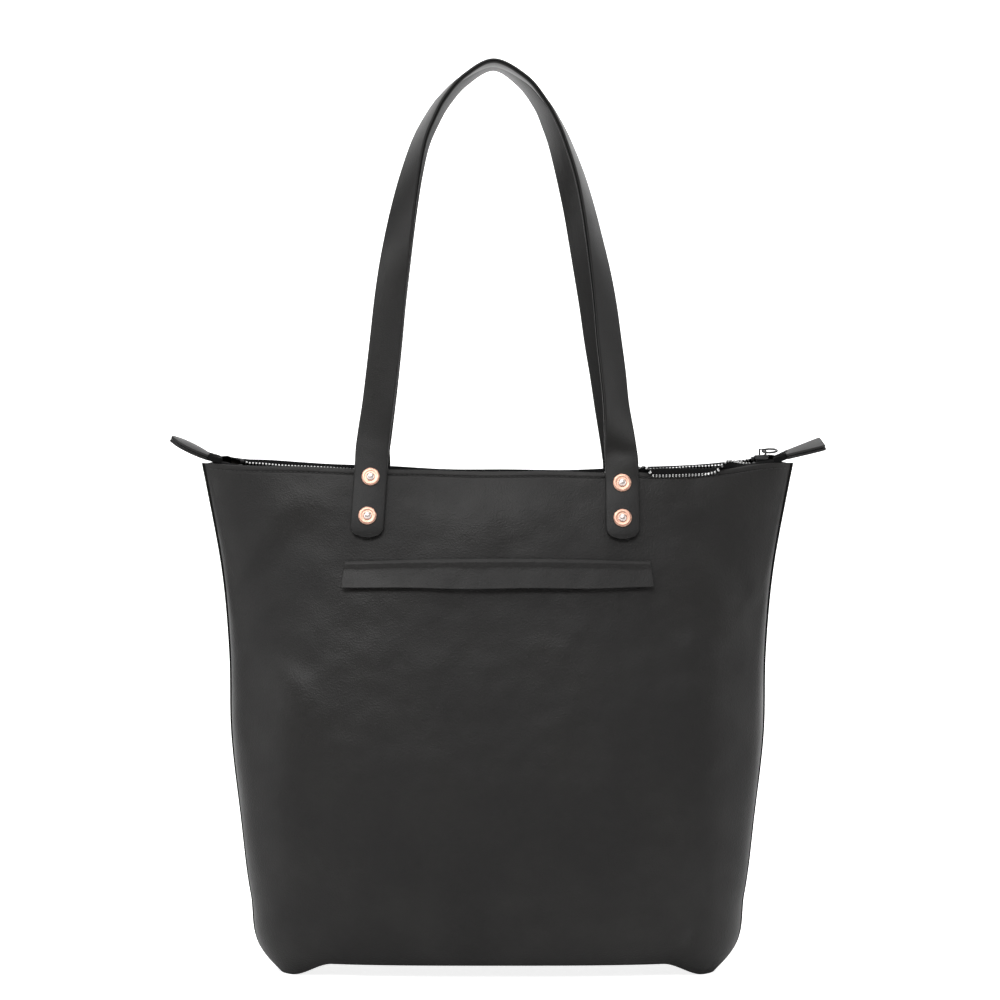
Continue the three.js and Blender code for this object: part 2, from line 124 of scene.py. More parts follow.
def mix_colour(tree, mask, dark, light):
    node = tree.nodes.new("ShaderNodeMix")
    node.data_type = "RGBA"
    tree.links.new(mask, node.inputs["Factor"])
    node.inputs["A"].default_value = (*dark, 1)
    node.inputs["B"].default_value = (*light, 1)
    return node.outputs["Result"]


def map_value(tree, value, low, high):
    node = tree.nodes.new("ShaderNodeMapRange")
    node.inputs["To Min"].default_value = low
    node.inputs["To Max"].default_value = high
    tree.links.new(value, node.inputs["Value"])
    return node.outputs["Result"]


def new_material(name):
    material = bpy.data.materials.new(name)
    material.use_nodes = True
    tree = material.node_tree
    return material, tree, tree.nodes["Principled BSDF"]


def leather(name, dark, light, rough, grain_scale, strength, specular=0.5):
    material, tree, shader = new_material(name)
    grain = tree.nodes.new("ShaderNodeGroup")
    grain.node_tree = GRAIN
    grain.inputs["Grain Scale"].default_value = grain_scale
    grain.inputs["Grain Strength"].default_value = strength
    tree.links.new(mix_colour(tree, grain.outputs["Rub"], dark, light), shader.inputs["Base Color"])
    roughness = map_value(tree, grain.outputs["Rub"], rough + 0.06, rough - 0.05)
    tree.links.new(roughness, shader.inputs["Roughness"])
    tree.links.new(grain.outputs["Normal"], shader.inputs["Normal"])
    shader.inputs["Specular IOR Level"].default_value = specular
    return material


BODY_LEATHER = leather(
    "body_leather", (0.0085, 0.0077, 0.0074),
    (0.014, 0.013, 0.0122), 0.46, 900.0, 0.5, 0.42,
)
STRAP_LEATHER = leather(
    "strap_leather", (0.0075, 0.007, 0.0068),
    (0.012, 0.0112, 0.0106), 0.42, 1300.0, 0.25, 0.42,
)
EDGE_LEATHER = leather(
    "leather_edge", (0.003, 0.003, 0.003),
    (0.007, 0.0065, 0.006), 0.7, 1800.0, 0.6, 0.15,
)


# Front and back walls: two pieces of leather that meet at the sides and under the base.
# Each is cut flat and stitched, so it bulges below, pulls in at the sides and waves at the rim.

# Half-width and half-depth of the bag at each height.
HALF_WIDTHS = [
    [0, 168], [12, 179], [58, 190], [120, 198], [182, 205],
    [243, 206.5], [305, 212], [366, 223], [391, 228],
]
HALF_DEPTHS = [[0, 52], [12, 60], [60, 67], [120, 68], [200, 60], [280, 46], [340, 34], [391, 24]]
RIM_Z = 391
RIM_DIP = 7
LEATHER = 1.8
FREE_ROW_Z = 355
SQUARE_BELOW_Z = 120
CORNER_X = 228
SEAM_GAP = 0.15
SLIT = {"half": 108, "low": 307.3, "high": 310.7, "wall_half": 211}

# How far the cut edges stand out along the side seam, and how far from its plane they are inked.
SEAM_LIP = 1.6
INKED = 2.1

# Standing rim of each wall, x and z: the front one sags most, the back one stands a little higher.
RIMS = {
    -1: [[-228, 389], [-205, 387.6], [-165, 386.2], [-110, 384.6], [-45, 383], [30, 382.4],
         [100, 381.8], [150, 382], [180, 385], [204, 388.2], [228, 389]],
    1: [[-228, 389], [-214, 391.8], [-190, 391.8], [-160, 390.4], [-110, 388], [-45, 385.2],
        [30, 384.2], [105, 385.8], [160, 388.6], [190, 390.8], [212, 391.8], [228, 389]],
}

# Distances of the top rows below the rim, the place of the sewn line, and a drop far from both.
RIM_DROPS = [0, 0.5, 1.2, 2.2, 3.1, 3.6, 4.0, 4.4, 5.0, 6.2, 8, 10.5, 14, 18]
SEAM_DROP = 4.1
FAR = 99
SEAM_GROOVE = 0.8
RIM_ROUNDING = 0.45

# Bulges and valleys of the front wall: centre x, z, radius x, z, and how far it stands out.
SWELLS = [
    (-150, 214, 26, 44, 3.4),
    (154, 212, 26, 44, 3.2),
    (-168, 130, 22, 60, 2.6),
    (168, 126, 22, 60, 2.6),
    (0, 170, 86, 120, -3.0),
    (0, 314, 160, 40, 2.4),
    (-172, 42, 16, 26, 2.6),
    (172, 44, 16, 26, 2.4),
    (-150, 360, 34, 20, 2.0),
    (2, 352, 52, 22, 1.9),
    (172, 360, 30, 24, 2.0),
    (-70, 250, 40, 30, 0.8),
    (60, 246, 44, 28, 0.8),
    (-50, 56, 60, 24, 1.4),
    (70, 60, 56, 24, 1.3),
]

# Creases: from x, z to x, z, half breadth, depth.
CREASES = [
    (-220, 326, -196, 274, 5, 2.4),
    (219, 324, 197, 272, 5, 2.3),
    (-141, 348, -198, 286, 13, 1.5),
    (143, 344, 200, 284, 13, 1.5),
    (-186, 250, -132, 232, 11, 1.3),
    (188, 246, 138, 228, 11, 1.3),
    (-196, 196, -166, 150, 8, 0.9),
    (198, 190, 168, 146, 8, 0.9),
    (-150, 30, -118, 12, 6, 1.6),
    (148, 30, 118, 12, 6, 1.6),
]


def smooth_value(pairs, z):
    heights, values = np.array(pairs, float).T
    slopes = np.gradient(values, heights)
    z = np.clip(z, heights[0], heights[-1])
    i = np.clip(np.searchsorted(heights, z) - 1, 0, len(heights) - 2)
    span = heights[i + 1] - heights[i]
    t = (z - heights[i]) / span
    rise = values[i + 1] - values[i]
    bend = (1 - t) * (slopes[i] * span - rise) - t * (slopes[i + 1] * span - rise)
    return values[i] + t * rise + t * (1 - t) * bend


def smoothstep(low, high, value):
    t = np.clip((value - low) / (high - low), 0, 1)
    return t * t * (3 - 2 * t)


def rim_z(x, side):
    return smooth_value(RIMS[side], x) + 0.35 * np.sin(x / 15 + side)


def wall_y(x, z, inset=0.0):
    """Y of the plain front wall, whose plan rounds off towards the rim."""
    z = np.asarray(z, float)
    power = 3 - 0.8 * np.clip((z - SQUARE_BELOW_Z) / (RIM_Z - SQUARE_BELOW_Z), 0, 1)
    share = np.minimum(1, np.abs(x) / (smooth_value(HALF_WIDTHS, z) - SEAM_LIP - inset))
    depth = smooth_value(HALF_DEPTHS, z) - inset - SEAM_GAP
    return -(SEAM_GAP + depth * (1 - share**power) ** (1 / power))


def wall_level(x, z):
    """Height on the uncut wall of a point at z on the wall whose rim dips."""
    top = RIM_Z - RIM_DIP * (1 - np.minimum(1, (x / CORNER_X) ** 2))
    stretch = (RIM_Z - FREE_ROW_Z) / (top - FREE_ROW_Z)
    return np.where(z > FREE_ROW_Z, FREE_ROW_Z + (z - FREE_ROW_Z) * stretch, z)


def soft_noise(x, z, side, size):
    points = zip(np.ravel(x) / size, np.ravel(z) / size)
    values = [noise.fractal(Vector((a, 7 * side, b)), 0.9, 2.0, 3) for a, b in points]
    return np.array(values).reshape(np.shape(x))


def relief(x, z, side):
    """How far the leather stands out from the plain wall, in mm; side is -1 front, 1 back."""
    x, z = np.broadcast_arrays(np.asarray(x, float), np.asarray(z, float))
    out = 0.9 * soft_noise(x, z, side, 46) + 0.12 * soft_noise(x, z, side, 13)
    mirror = 1 if side < 0 else -0.93
    for cx, cz, rx, rz, height in SWELLS:
        out += height * np.exp(-(((x * mirror - cx) / rx) ** 2) - ((z - cz) / rz) ** 2)
    for ax, az, bx, bz, breadth, depth in CREASES:
        dx, dz = bx - ax, bz - az
        length = math.hypot(dx, dz)
        px, pz = x * mirror - ax, z - az
        along = (px * dx + pz * dz) / length**2
        across = (px * dz - pz * dx) / length
        across = across + 3 * np.sin(along * 4.0)
        fade = smoothstep(-0.15, 0.2, along) * (1 - smoothstep(0.75, 1.2, along))
        out -= depth * fade * np.exp(-((across / breadth) ** 2))
        out += 0.55 * depth * fade * np.exp(-(((across - 1.6 * breadth) / breadth) ** 2))
    middle = 1 - (np.minimum(1, np.abs(x) / CORNER_X)) ** 6
    out += 1.3 * np.sin(x / 41 + side) * smoothstep(330, RIM_Z, z) * middle
    return out


def edge_calm(x, z):
    """Fades the relief out at the side seams and under the base."""
    share = np.minimum(1, np.abs(x) / smooth_value(HALF_WIDTHS, np.minimum(z, RIM_Z)))
    return (1 - share**10) * smoothstep(0, 30, z)


BASE_LIFT = {"height": 10, "full_x": 125, "end_x": 157, "top_z": 50}


def base_lift(x, z):
    """How far the middle of the base is drawn up off the floor."""
    reach = BASE_LIFT["end_x"] - BASE_LIFT["full_x"]
    share = smoothstep(0, reach, BASE_LIFT["end_x"] - np.abs(x))
    return BASE_LIFT["height"] * share * np.maximum(0, 1 - z / BASE_LIFT["top_z"])


def surface_y(x, z, inset, side):
    """Y of the finished wall of one side, with its relief, in mm."""
    plain = -wall_y(x, wall_level(x, z), inset)
    return side * (plain + relief(x, z, side) * edge_calm(x, z))


def support(x, z, side):
    """Distance from the middle plane at which a strap lies on the wall around x."""
    return max(float(side * surface_y(x + dx, z, 0, side)) for dx in (-12, -6, 0, 6, 12))


def add_mesh(name, vertices, faces, *materials, smooth=True, angle=50):
    """Mesh from millimetre points, shaded smooth up to the given angle."""
    mesh = bpy.data.meshes.new(name)
    mesh.from_pydata((np.asarray(vertices, float) * MM).tolist(), [], [list(map(int, f)) for f in faces])
    for material in materials:
        mesh.materials.append(material)
    mesh.validate()
    if smooth:
        mesh.shade_smooth()
        mesh.set_sharp_from_angle(angle=math.radians(angle))
    obj = bpy.data.objects.new(name, mesh)
    bpy.context.scene.collection.objects.link(obj)
    return obj


def face_out(obj):
    """Turns every face of a closed mesh outwards."""
    shape = bmesh.new()
    shape.from_mesh(obj.data)
    bmesh.ops.remove_doubles(shape, verts=shape.verts, dist=1e-6)
    bmesh.ops.recalc_face_normals(shape, faces=shape.faces)
    shape.to_mesh(obj.data)
    shape.free()
    obj.data.shade_smooth()
    obj.data.set_sharp_from_angle(angle=math.radians(50))


def grid_solid(name, outer, inner, *materials, hole=None):
    """Closed sheet between two grids of points.

    hole is first column, last column, first row and last row of an opening, or None.
    """
    columns, rows = outer.shape[:2]
    vertices = np.concatenate([outer.reshape(-1, 3), inner.reshape(-1, 3)])
    half = columns * rows
    at = lambda i, j, face: face * half + i * rows + j
    left, right, top, bottom = hole or (0, 0, 0, 0)
    open_cell = lambda i, j: left <= i < right and top <= j < bottom
    faces = []
    for i in range(columns - 1):
        for j in range(rows - 1):
            if not open_cell(i, j):
                faces.append((at(i, j, 0), at(i, j + 1, 0), at(i + 1, j + 1, 0), at(i + 1, j, 0)))
                faces.append((at(i, j, 1), at(i + 1, j, 1), at(i + 1, j + 1, 1), at(i, j + 1, 1)))
    border = [((i, 0), (i + 1, 0)) for i in range(columns - 1)]
    border += [((i, rows - 1), (i + 1, rows - 1)) for i in range(columns - 1)]
    border += [((0, j), (0, j + 1)) for j in range(rows - 1)]
    border += [((columns - 1, j), (columns - 1, j + 1)) for j in range(rows - 1)]
    for i in range(left, right):
        border += [((i, top), (i + 1, top)), ((i, bottom), (i + 1, bottom))]
    for j in range(top, bottom):
        border += [((left, j), (left, j + 1)), ((right, j), (right, j + 1))]
    for a, b in border:
        faces.append((at(*a, 0), at(*b, 0), at(*b, 1), at(*a, 1)))
    obj = add_mesh(name, vertices, faces, *materials)
    face_out(obj)
    return obj


def half_bag(side):
    """One wall, from its rim over the belly and half the base, with the lip of its side seams."""
    spread = np.linspace(-1, 1, 241)
    main = [(float(q), 0.0) for q in np.sign(spread) * (1 - (1 - np.abs(spread)) ** 1.9)]
    lip = [0.5, 1.1, SEAM_LIP]
    columns = [(-1.0, e) for e in lip[::-1]] + main + [(1.0, e) for e in lip]
    slit_rows = [SLIT["low"], SLIT["high"]]
    wall = np.concatenate([np.linspace(FREE_ROW_Z, 24, 140), np.linspace(24, 0, 22), slit_rows])
    wall = np.unique(wall)[::-1]
    below = np.linspace(0, 1, 9)[1:-1]
    reach_rows = np.linspace(1, 0, 16)[1:]
    grids = []
    for face in (0, 1):
        inset = LEATHER * face
        points = []
        for q, extra in columns:
            lip_x = math.copysign(extra, q)
            rim = float(rim_z(q * CORNER_X, side))
            heights = [rim - drop for drop in RIM_DROPS]
            heights += [heights[-1] + (FREE_ROW_Z - heights[-1]) * t for t in below]
            column = []
            for z in heights:
                level = float(wall_level(q * CORNER_X, z))
                half = float(smooth_value(HALF_WIDTHS, level)) - SEAM_LIP
                column.append((q * (half - inset * (extra == 0)) + lip_x, level, z, 1, rim - z))
            for level in wall:
                half = float(smooth_value(HALF_WIDTHS, level)) - SEAM_LIP
                x = q * (half - inset * (extra == 0)) + lip_x
                z = level + float(base_lift(x, level)) + (inset if level == 0 else 0)
                column.append((x, level, z, 1, FAR))
            x = column[-1][0]
            for reach in reach_rows:
                column.append((x, 0, float(base_lift(x, 0)) + inset, reach, FAR))
            points.append(column)
        x, level, z, reach, drop = np.moveaxis(np.array(points, float), -1, 0)
        plain = -wall_y(x, level, inset) - SEAM_GAP
        plain = np.maximum(plain, LEATHER if face == 0 else 0)
        shape = relief(x, z, side) * edge_calm(x, level) * (reach == 1)
        rounded = RIM_ROUNDING * np.exp(-((drop / 0.4) ** 2)) * (1 if face == 0 else -1)
        sewn = SEAM_GROOVE * np.exp(-(((drop - SEAM_DROP) / 0.45) ** 2)) if face == 0 else 0
        out = SEAM_GAP + plain * reach + shape - (rounded + sewn) * edge_calm(x, level)
        grids.append(np.stack([x, np.maximum(out, SEAM_GAP) * side, z], axis=-1))
    rows = list(wall)
    first = len(RIM_DROPS) + len(below) + rows.index(SLIT["high"])
    last = len(RIM_DROPS) + len(below) + rows.index(SLIT["low"])
    inside = [i for i, (q, _) in enumerate(columns) if abs(q * SLIT["wall_half"]) <= SLIT["half"]]
    hole = (inside[0], inside[-1], first, last) if side < 0 else None
    name = "front_wall" if side < 0 else "back_wall"
    wall_piece = grid_solid(name, *grids, BODY_LEATHER, EDGE_LEATHER, hole=hole)
    for polygon in wall_piece.data.polygons:
        polygon.material_index = 1 if abs(polygon.center.y) < INKED * MM else 0
    return wall_piece


for side, node in ((-1, "front_panel"), (1, "back_panel")):
    wall_piece = half_bag(side)
    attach(wall_piece, "bag")
    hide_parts(node)


# Rim facings: a band of split leather inside each rim, glued and sewn over the zip tape.
# Its flesh side shows as a matte, slightly furry grey inside the mouth.
def suede():
    material, tree, shader = new_material("suede_facing")
    place = tree.nodes.new("ShaderNodeTexCoord").outputs["Object"]
    nap = noise_node(tree, 900.0, 5.0, place, 0.7)
    grey = mix_colour(tree, nap, (0.016, 0.014, 0.013), (0.04, 0.036, 0.034))
    tree.links.new(grey, shader.inputs["Base Color"])
    bump = tree.nodes.new("ShaderNodeBump")
    bump.inputs["Strength"].default_value = 0.5
    bump.inputs["Distance"].default_value = 0.0003
    tree.links.new(nap, bump.inputs["Height"])
    tree.links.new(bump.outputs["Normal"], shader.inputs["Normal"])
    shader.inputs["Roughness"].default_value = 0.95
    shader.inputs["Sheen Weight"].default_value = 0.25
    return material


SUEDE = suede()
FACING_HALF = 206
FACING_INSETS = (3.6, 4.8)


def rim_facing(side):
    xs = np.linspace(-FACING_HALF, FACING_HALF, 120)
    drops = np.concatenate([np.linspace(0.8, 20, 10), np.linspace(24, 52, 8)])
    x, drop = np.meshgrid(xs, drops, indexing="ij")
    z = rim_z(x, side) - drop
    x = x * smooth_value(HALF_WIDTHS, z) / CORNER_X
    grids = [np.stack([x, surface_y(x, z, inset, side), z], axis=-1) for inset in FACING_INSETS]
    return grid_solid(("front" if side < 0 else "back") + "_facing", *grids, SUEDE)


for side, node in ((-1, "front_rim_facing"), (1, "back_rim_facing")):
    band = rim_facing(side)
    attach(band, "bag")
    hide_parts(node)


# Zip tapes: woven tape sewn under each facing, with its beaded edge and teeth free above the rim.
# The open front tape has flopped out over the front rim on the right and hangs against the leather.
TAPE_INSET = 2.4
TAPE_END_X = 217.5
TAPE_ROOT = 2

# Lie of the free part of each tape: x, lean in degrees (inwards is positive), and free length.
TAPE_LIE = {
    -1: [(-218, 70, 6), (-208, 80, 7), (-198, 105, 6), (-186, 112, 5), (96, 112, 5), (103, 70, 4),
         (109, 10, 3), (114, -80, 6), (118, -168, 9.5), (124, -176, 10.5), (138, -174, 10.2),
         (148, -168, 9), (160, -162, 7.8), (167, -140, 7.4), (172, -70, 7), (177, -10, 6),
         (183, 40, 5), (190, 70, 5), (197, 90, 6.5), (203, 84, 8.5), (210, 80, 8), (218, 70, 6)],
    1: [(-218, 70, 6), (-208, 80, 7), (-200, 112, 6), (-192, 144, 5.3), (-108, 144, 5.3),
        (-95, 152, 5), (98, 150, 5), (108, 124, 5), (170, 120, 5), (186, 112, 5.5),
        (197, 98, 6.5), (203, 84, 8.5), (210, 80, 8), (218, 70, 6)],
}


def woven(name, dark, light):
    material, tree, shader = new_material(name)
    place = tree.nodes.new("ShaderNodeTexCoord").outputs["Object"]
    waves = []
    for direction in ("X", "Z"):
        wave = tree.nodes.new("ShaderNodeTexWave")
        wave.bands_direction = direction
        wave.inputs["Scale"].default_value = 500.0
        tree.links.new(place, wave.inputs["Vector"])
        waves.append(wave.outputs["Fac"])
    weave = math_node(tree, "MULTIPLY", *waves)
    tree.links.new(mix_colour(tree, weave, dark, light), shader.inputs["Base Color"])
    bump = tree.nodes.new("ShaderNodeBump")
    bump.inputs["Strength"].default_value = 0.6
    bump.inputs["Distance"].default_value = 0.0003
    tree.links.new(weave, bump.inputs["Height"])
    tree.links.new(bump.outputs["Normal"], shader.inputs["Normal"])
    shader.inputs["Roughness"].default_value = 0.9
    shader.inputs["Specular IOR Level"].default_value = 0.2
    return material


TAPE_CLOTH = woven("zip_tape", (0.003, 0.003, 0.0033), (0.009, 0.009, 0.0095))


def tape_line(x, side):
    """Points in the YZ plane at x, from the sewn edge of the tape to its free edge."""
    rim = float(rim_z(x, side)) - TAPE_ROOT
    y = float(surface_y(x, rim, TAPE_INSET + 0.3, side))
    keys, leans, lengths = zip(*TAPE_LIE[side])
    lean = math.radians(np.interp(x, keys, leans) + 4 * math.sin(x / 9 + side))
    length = np.interp(x, keys, lengths) + TAPE_ROOT
    z = rim
    points = [(y, rim - 4), (y, rim - 2), (y, rim)]
    steps = 12
    straight = 0 if lean > 0 else 3
    for k in range(steps):
        angle = lean * min(1.0, max(0.0, k + 0.5 - straight) / (7 - 0.6 * straight))
        y -= side * math.sin(angle) * length / steps
        z += math.cos(angle) * length / steps
        points.append((y, z))
    return points


def zip_tape(side):
    """One tape, with the place and direction of its free edge along the bag."""
    xs = np.linspace(-TAPE_END_X, TAPE_END_X, 360)
    grids = [[], []]
    edge = []
    for x in xs:
        line = np.array(tape_line(x, side))
        tangent = np.gradient(line, axis=0)
        tangent /= np.linalg.norm(tangent, axis=1)[:, None]
        normal = np.stack([tangent[:, 1], -tangent[:, 0]], axis=1) * side
        for face, offset in ((0, 0.3), (1, -0.3)):
            shifted = line + normal * offset
            grids[face].append([(x, y, z) for y, z in shifted])
        edge.append((x, *line[-1], *tangent[-1]))
    name = ("front" if side < 0 else "back") + "_tape"
    return grid_solid(name, *map(np.array, grids), TAPE_CLOTH), np.array(edge)


tape_edges = {}
for side, node in ((-1, "front_zip_tape"), (1, "back_zip_tape")):
    tape, tape_edges[side] = zip_tape(side)
    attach(tape, "bag")
    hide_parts(node)


# Zip teeth and stops: nickel-plated teeth clamped one by one on the tape edge.
# Each tooth is a small chamfered block; a folded clip stops each row at both ends.
TOOTH_PITCH = 2.5
TOOTH_SIZE = (1.5, 2.2, 1.9)
ROW_END_X = 194
STOP_XS = (-197.2, 196.9)
STOP_SIZE = (2.8, 2.4, 3.4)


def metal(name, dark, light, rough):
    material, tree, shader = new_material(name)
    place = tree.nodes.new("ShaderNodeTexCoord").outputs["Object"]
    tarnish = noise_node(tree, 220.0, 4.0, place)
    tree.links.new(mix_colour(tree, tarnish, dark, light), shader.inputs["Base Color"])
    tree.links.new(map_value(tree, tarnish, rough + 0.12, rough - 0.04), shader.inputs["Roughness"])
    bump = tree.nodes.new("ShaderNodeBump")
    bump.inputs["Strength"].default_value = 0.15
    bump.inputs["Distance"].default_value = 0.0002
    tree.links.new(noise_node(tree, 900.0, 3.0, place), bump.inputs["Height"])
    tree.links.new(bump.outputs["Normal"], shader.inputs["Normal"])
    shader.inputs["Metallic"].default_value = 1.0
    return material


TEETH_METAL = metal("zip_metal", (0.5, 0.5, 0.5), (0.78, 0.78, 0.77), 0.24)
NICKEL = metal("nickel", (0.05, 0.05, 0.052), (0.12, 0.12, 0.12), 0.3)


def block(centre, along, up, size, pinch=0.72):
    """Chamfered block around a centre, with its own axes: four rings of eight corners."""
    along = Vector(along).normalized()
    up = Vector(up).normalized()
    across = along.cross(up).normalized()
    corners = [(-1, -pinch), (-pinch, -1), (pinch, -1), (1, -pinch)]
    corners += [(-a, -b) for a, b in corners]
    points = []
    for level, scale in ((-1, pinch), (-0.6, 1), (0.6, 1), (1, pinch)):
        for a, b in corners:
            p = Vector(centre) + along * (a * scale * size[0] / 2) + across * (b * scale * size[1] / 2)
            points.append(p + up * (level * size[2] / 2))
    faces = [tuple(range(7, -1, -1)), tuple(range(24, 32))]
    for ring in range(3):
        for k in range(8):
            a, b = ring * 8 + k, ring * 8 + (k + 1) % 8
            faces.append((a, b, b + 8, a + 8))
    return points, faces


def joined_blocks(name, blocks, *materials):
    vertices, faces = [], []
    for points, block_faces in blocks:
        start = len(vertices)
        vertices += points
        faces += [tuple(i + start for i in f) for f in block_faces]
    return add_mesh(name, vertices, faces, *materials, angle=35)


def tooth_row(side):
    edge = tape_edges[side]
    count = int(2 * ROW_END_X / TOOTH_PITCH)
    blocks = []
    for k in range(count + 1):
        x = -ROW_END_X + k * TOOTH_PITCH
        place = [np.interp(x, edge[:, 0], edge[:, c]) for c in (1, 2, 3, 4)]
        step = [np.interp(x + 1, edge[:, 0], edge[:, c]) for c in (1, 2)]
        along = Vector((1, step[0] - place[0], step[1] - place[1]))
        up = Vector((0, place[2], place[3]))
        centre = Vector((x, place[0], place[1])) + up.normalized() * 0.35
        blocks.append(block(centre, along, up, TOOTH_SIZE))
    return joined_blocks(("front" if side < 0 else "back") + "_teeth", blocks, TEETH_METAL)


def end_stop(side):
    edge = tape_edges[side]
    blocks = []
    for x in STOP_XS:
        y, z = (np.interp(x, edge[:, 0], edge[:, c]) for c in (1, 2))
        blocks.append(block((x, y, z), (1, 0, 0), (0, 0, 1), STOP_SIZE, 0.8))
    return joined_blocks(("front" if side < 0 else "back") + "_stops", blocks, NICKEL)


for side, name in ((-1, "front"), (1, "back")):
    teeth = tooth_row(side)
    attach(teeth, "bag")
    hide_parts(name + "_zip_teeth")
    stops = end_stop(side)
    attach(stops, "bag")
    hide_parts(name + "_zip_stop")


# Slider and ring: slider plated in dark nickel, parked at the right end, with a wire ring in its lug.
# The slider has a top plate, two flanges, a wedge between them, a lower plate and a lug.
def polished(obj, width, segments=2):
    bevel = obj.modifiers.new("bevel", "BEVEL")
    bevel.width = width * MM
    bevel.segments = segments
    bevel.limit_method = "ANGLE"
    return obj


SLIDER_X = 203
SLIDER_TOP = 395.2
LUG_Z = SLIDER_TOP + 3
RING_TILT = math.radians(3)
RING_ROLL = math.radians(15)

# Blocks of the slider: offset along the mouth, across it and above its top, then size.
SLIDER_BLOCKS = [
    (0, 0, -0.9, 11, 11, 1.8),
    (0, -5.0, -2.2, 10, 1.1, 2.2),
    (0, 5.0, -2.2, 10, 1.1, 2.2),
    (0, 0, -5.5, 8, 2.4, 9),
    (0, 0, -9.4, 11, 8, 1.6),
    (-1.3, 0, 2.0, 1.3, 2.4, 4.6),
    (3.3, 0, 2.0, 1.3, 2.4, 4.6),
    (1, 0, 4.5, 6, 2.6, 0.9),
]
slider = joined_blocks(
    "slider",
    [
        block((SLIDER_X + x, y, SLIDER_TOP + z), (1, 0, 0), (0, 0, 1), size, 0.8)
        for x, y, z, *size in SLIDER_BLOCKS
    ],
    NICKEL,
)
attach(slider, "slider")
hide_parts("zip_slider")


def tube_ring(name, centre, radius, wire, material):
    """Wire ring that hangs from centre: rolled about its own length, then tilted up."""
    turns, sides = 48, 12
    vertices, faces = [], []
    for i in range(turns):
        a = 2 * math.pi * i / turns
        for j in range(sides):
            b = 2 * math.pi * j / sides
            reach = radius + wire * math.cos(b)
            along, across, up = radius + reach * math.cos(a), reach * math.sin(a), wire * math.sin(b)
            y = across * math.cos(RING_ROLL) - up * math.sin(RING_ROLL)
            rise = across * math.sin(RING_ROLL) + up * math.cos(RING_ROLL)
            x = along * math.cos(RING_TILT) - rise * math.sin(RING_TILT)
            z = along * math.sin(RING_TILT) + rise * math.cos(RING_TILT)
            vertices.append((centre[0] + x, centre[1] + y, centre[2] + z))
    for i in range(turns):
        for j in range(sides):
            a, b = i * sides + j, i * sides + (j + 1) % sides
            c, d = ((i + 1) % turns) * sides + (j + 1) % sides, ((i + 1) % turns) * sides + j
            faces.append((a, d, c, b))
    return add_mesh(name, vertices, faces, material)


ring = tube_ring("pull_ring", (SLIDER_X + 1, 0, LUG_Z), 5.6, 0.8, NICKEL)
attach(ring, "ring")
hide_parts("slider_ring")


# End tabs: two layers of leather over the joined ends of the tapes, glued and sewn through.
# The left one is pinched into a leaf shape; the right one widens to its open cut end.
TAB_PIVOT = (221.5, 395.5)
TAB_REACH_X = 250.6
TAB_LAYER = 1.9

# Each tab: side, rise and roll in degrees, how far it sinks below its middle line,
# bow of the leather across it, half-width along its length.
TABS = {
    "left": {
        "side": -1, "angle": 26, "roll": 11, "sink": 1.9, "bow": 1.2,
        "widths": [[0, 5], [0.3, 8.6], [0.55, 9.4], [0.82, 6.6], [1, 1.6]],
    },
    "right": {
        "side": 1, "angle": 17, "roll": 17, "sink": 0.5, "bow": 0.4,
        "widths": [[0, 5.4], [0.2, 6.6], [0.6, 9.4], [1, 11.8]],
    },
}


def tab_point(tab, along, across, up):
    """World place of a point on a tab: along and across it and above its middle, in mm."""
    angle, roll = math.radians(tab["angle"]), math.radians(tab["roll"])
    up -= tab["sink"]
    y = across * math.cos(roll) - up * math.sin(roll)
    rise = across * math.sin(roll) + up * math.cos(roll)
    x = along * math.cos(angle) - rise * math.sin(angle)
    z = along * math.sin(angle) + rise * math.cos(angle)
    return (tab["side"] * (TAB_PIVOT[0] + x), y, TAB_PIVOT[1] + z)


def tab_layer(name, tab, height, thickness, shrink, material):
    """One layer of a tab, shrunk inwards by the given distance on its outline."""
    length = (TAB_REACH_X - TAB_PIVOT[0]) / math.cos(math.radians(tab["angle"])) - shrink
    across = np.linspace(-1, 1, 25)
    grids = []
    for face in (0, 1):
        rows = []
        for s in np.linspace(0, 1, 40):
            half = float(smooth_value(tab["widths"], s)) - 0.8 * shrink
            half *= 1 - 0.12 * float(smoothstep(0.94, 1.0, s))
            bow = tab["bow"] * math.sin(math.pi * min(1, 0.15 + 0.8 * s)) * np.sign(height)
            curl = 0.25 * s * s * (1 if height > 0 else 0.6)
            lift = height + (0.5 - face) * thickness + curl
            along = 0.5 + s * (length - 0.5)
            rows.append([tab_point(tab, along, q * half, lift + bow * (1 - q * q)) for q in across])
        grids.append(np.array(rows))
    return grid_solid(name, *grids, material)


def tape_neck(name, tab):
    """Joined tape ends from the corner of the bag into the tab."""
    side = tab["side"]
    start = np.array([side * 212.0, 0.0, 389.6])
    end = np.array(tab_point(tab, 1.6, 0, 0))
    grids = []
    for face in (0, 1):
        rows = []
        for s in np.linspace(0, 1, 18):
            ease = float(smoothstep(0, 1, s))
            centre = start + (end - start) * s + np.array([0, 0, 0.6 * math.sin(math.pi * s)])
            half = 7.0 + (4.6 - 7.0) * ease
            roll = math.radians(tab["roll"]) * ease
            row = []
            for q in np.linspace(-1, 1, 13):
                up = (0.5 - face) * (8.0 - 2.6 * ease) * (1 - 0.4 * q * q) + 0.4 * math.sin(5 * q + 7 * s)
                row.append(centre + np.array([0, q * half * math.cos(roll), q * half * math.sin(roll) + up]))
            rows.append(row)
        grids.append(np.array(rows))
    return grid_solid(name, *grids, TAPE_CLOTH)


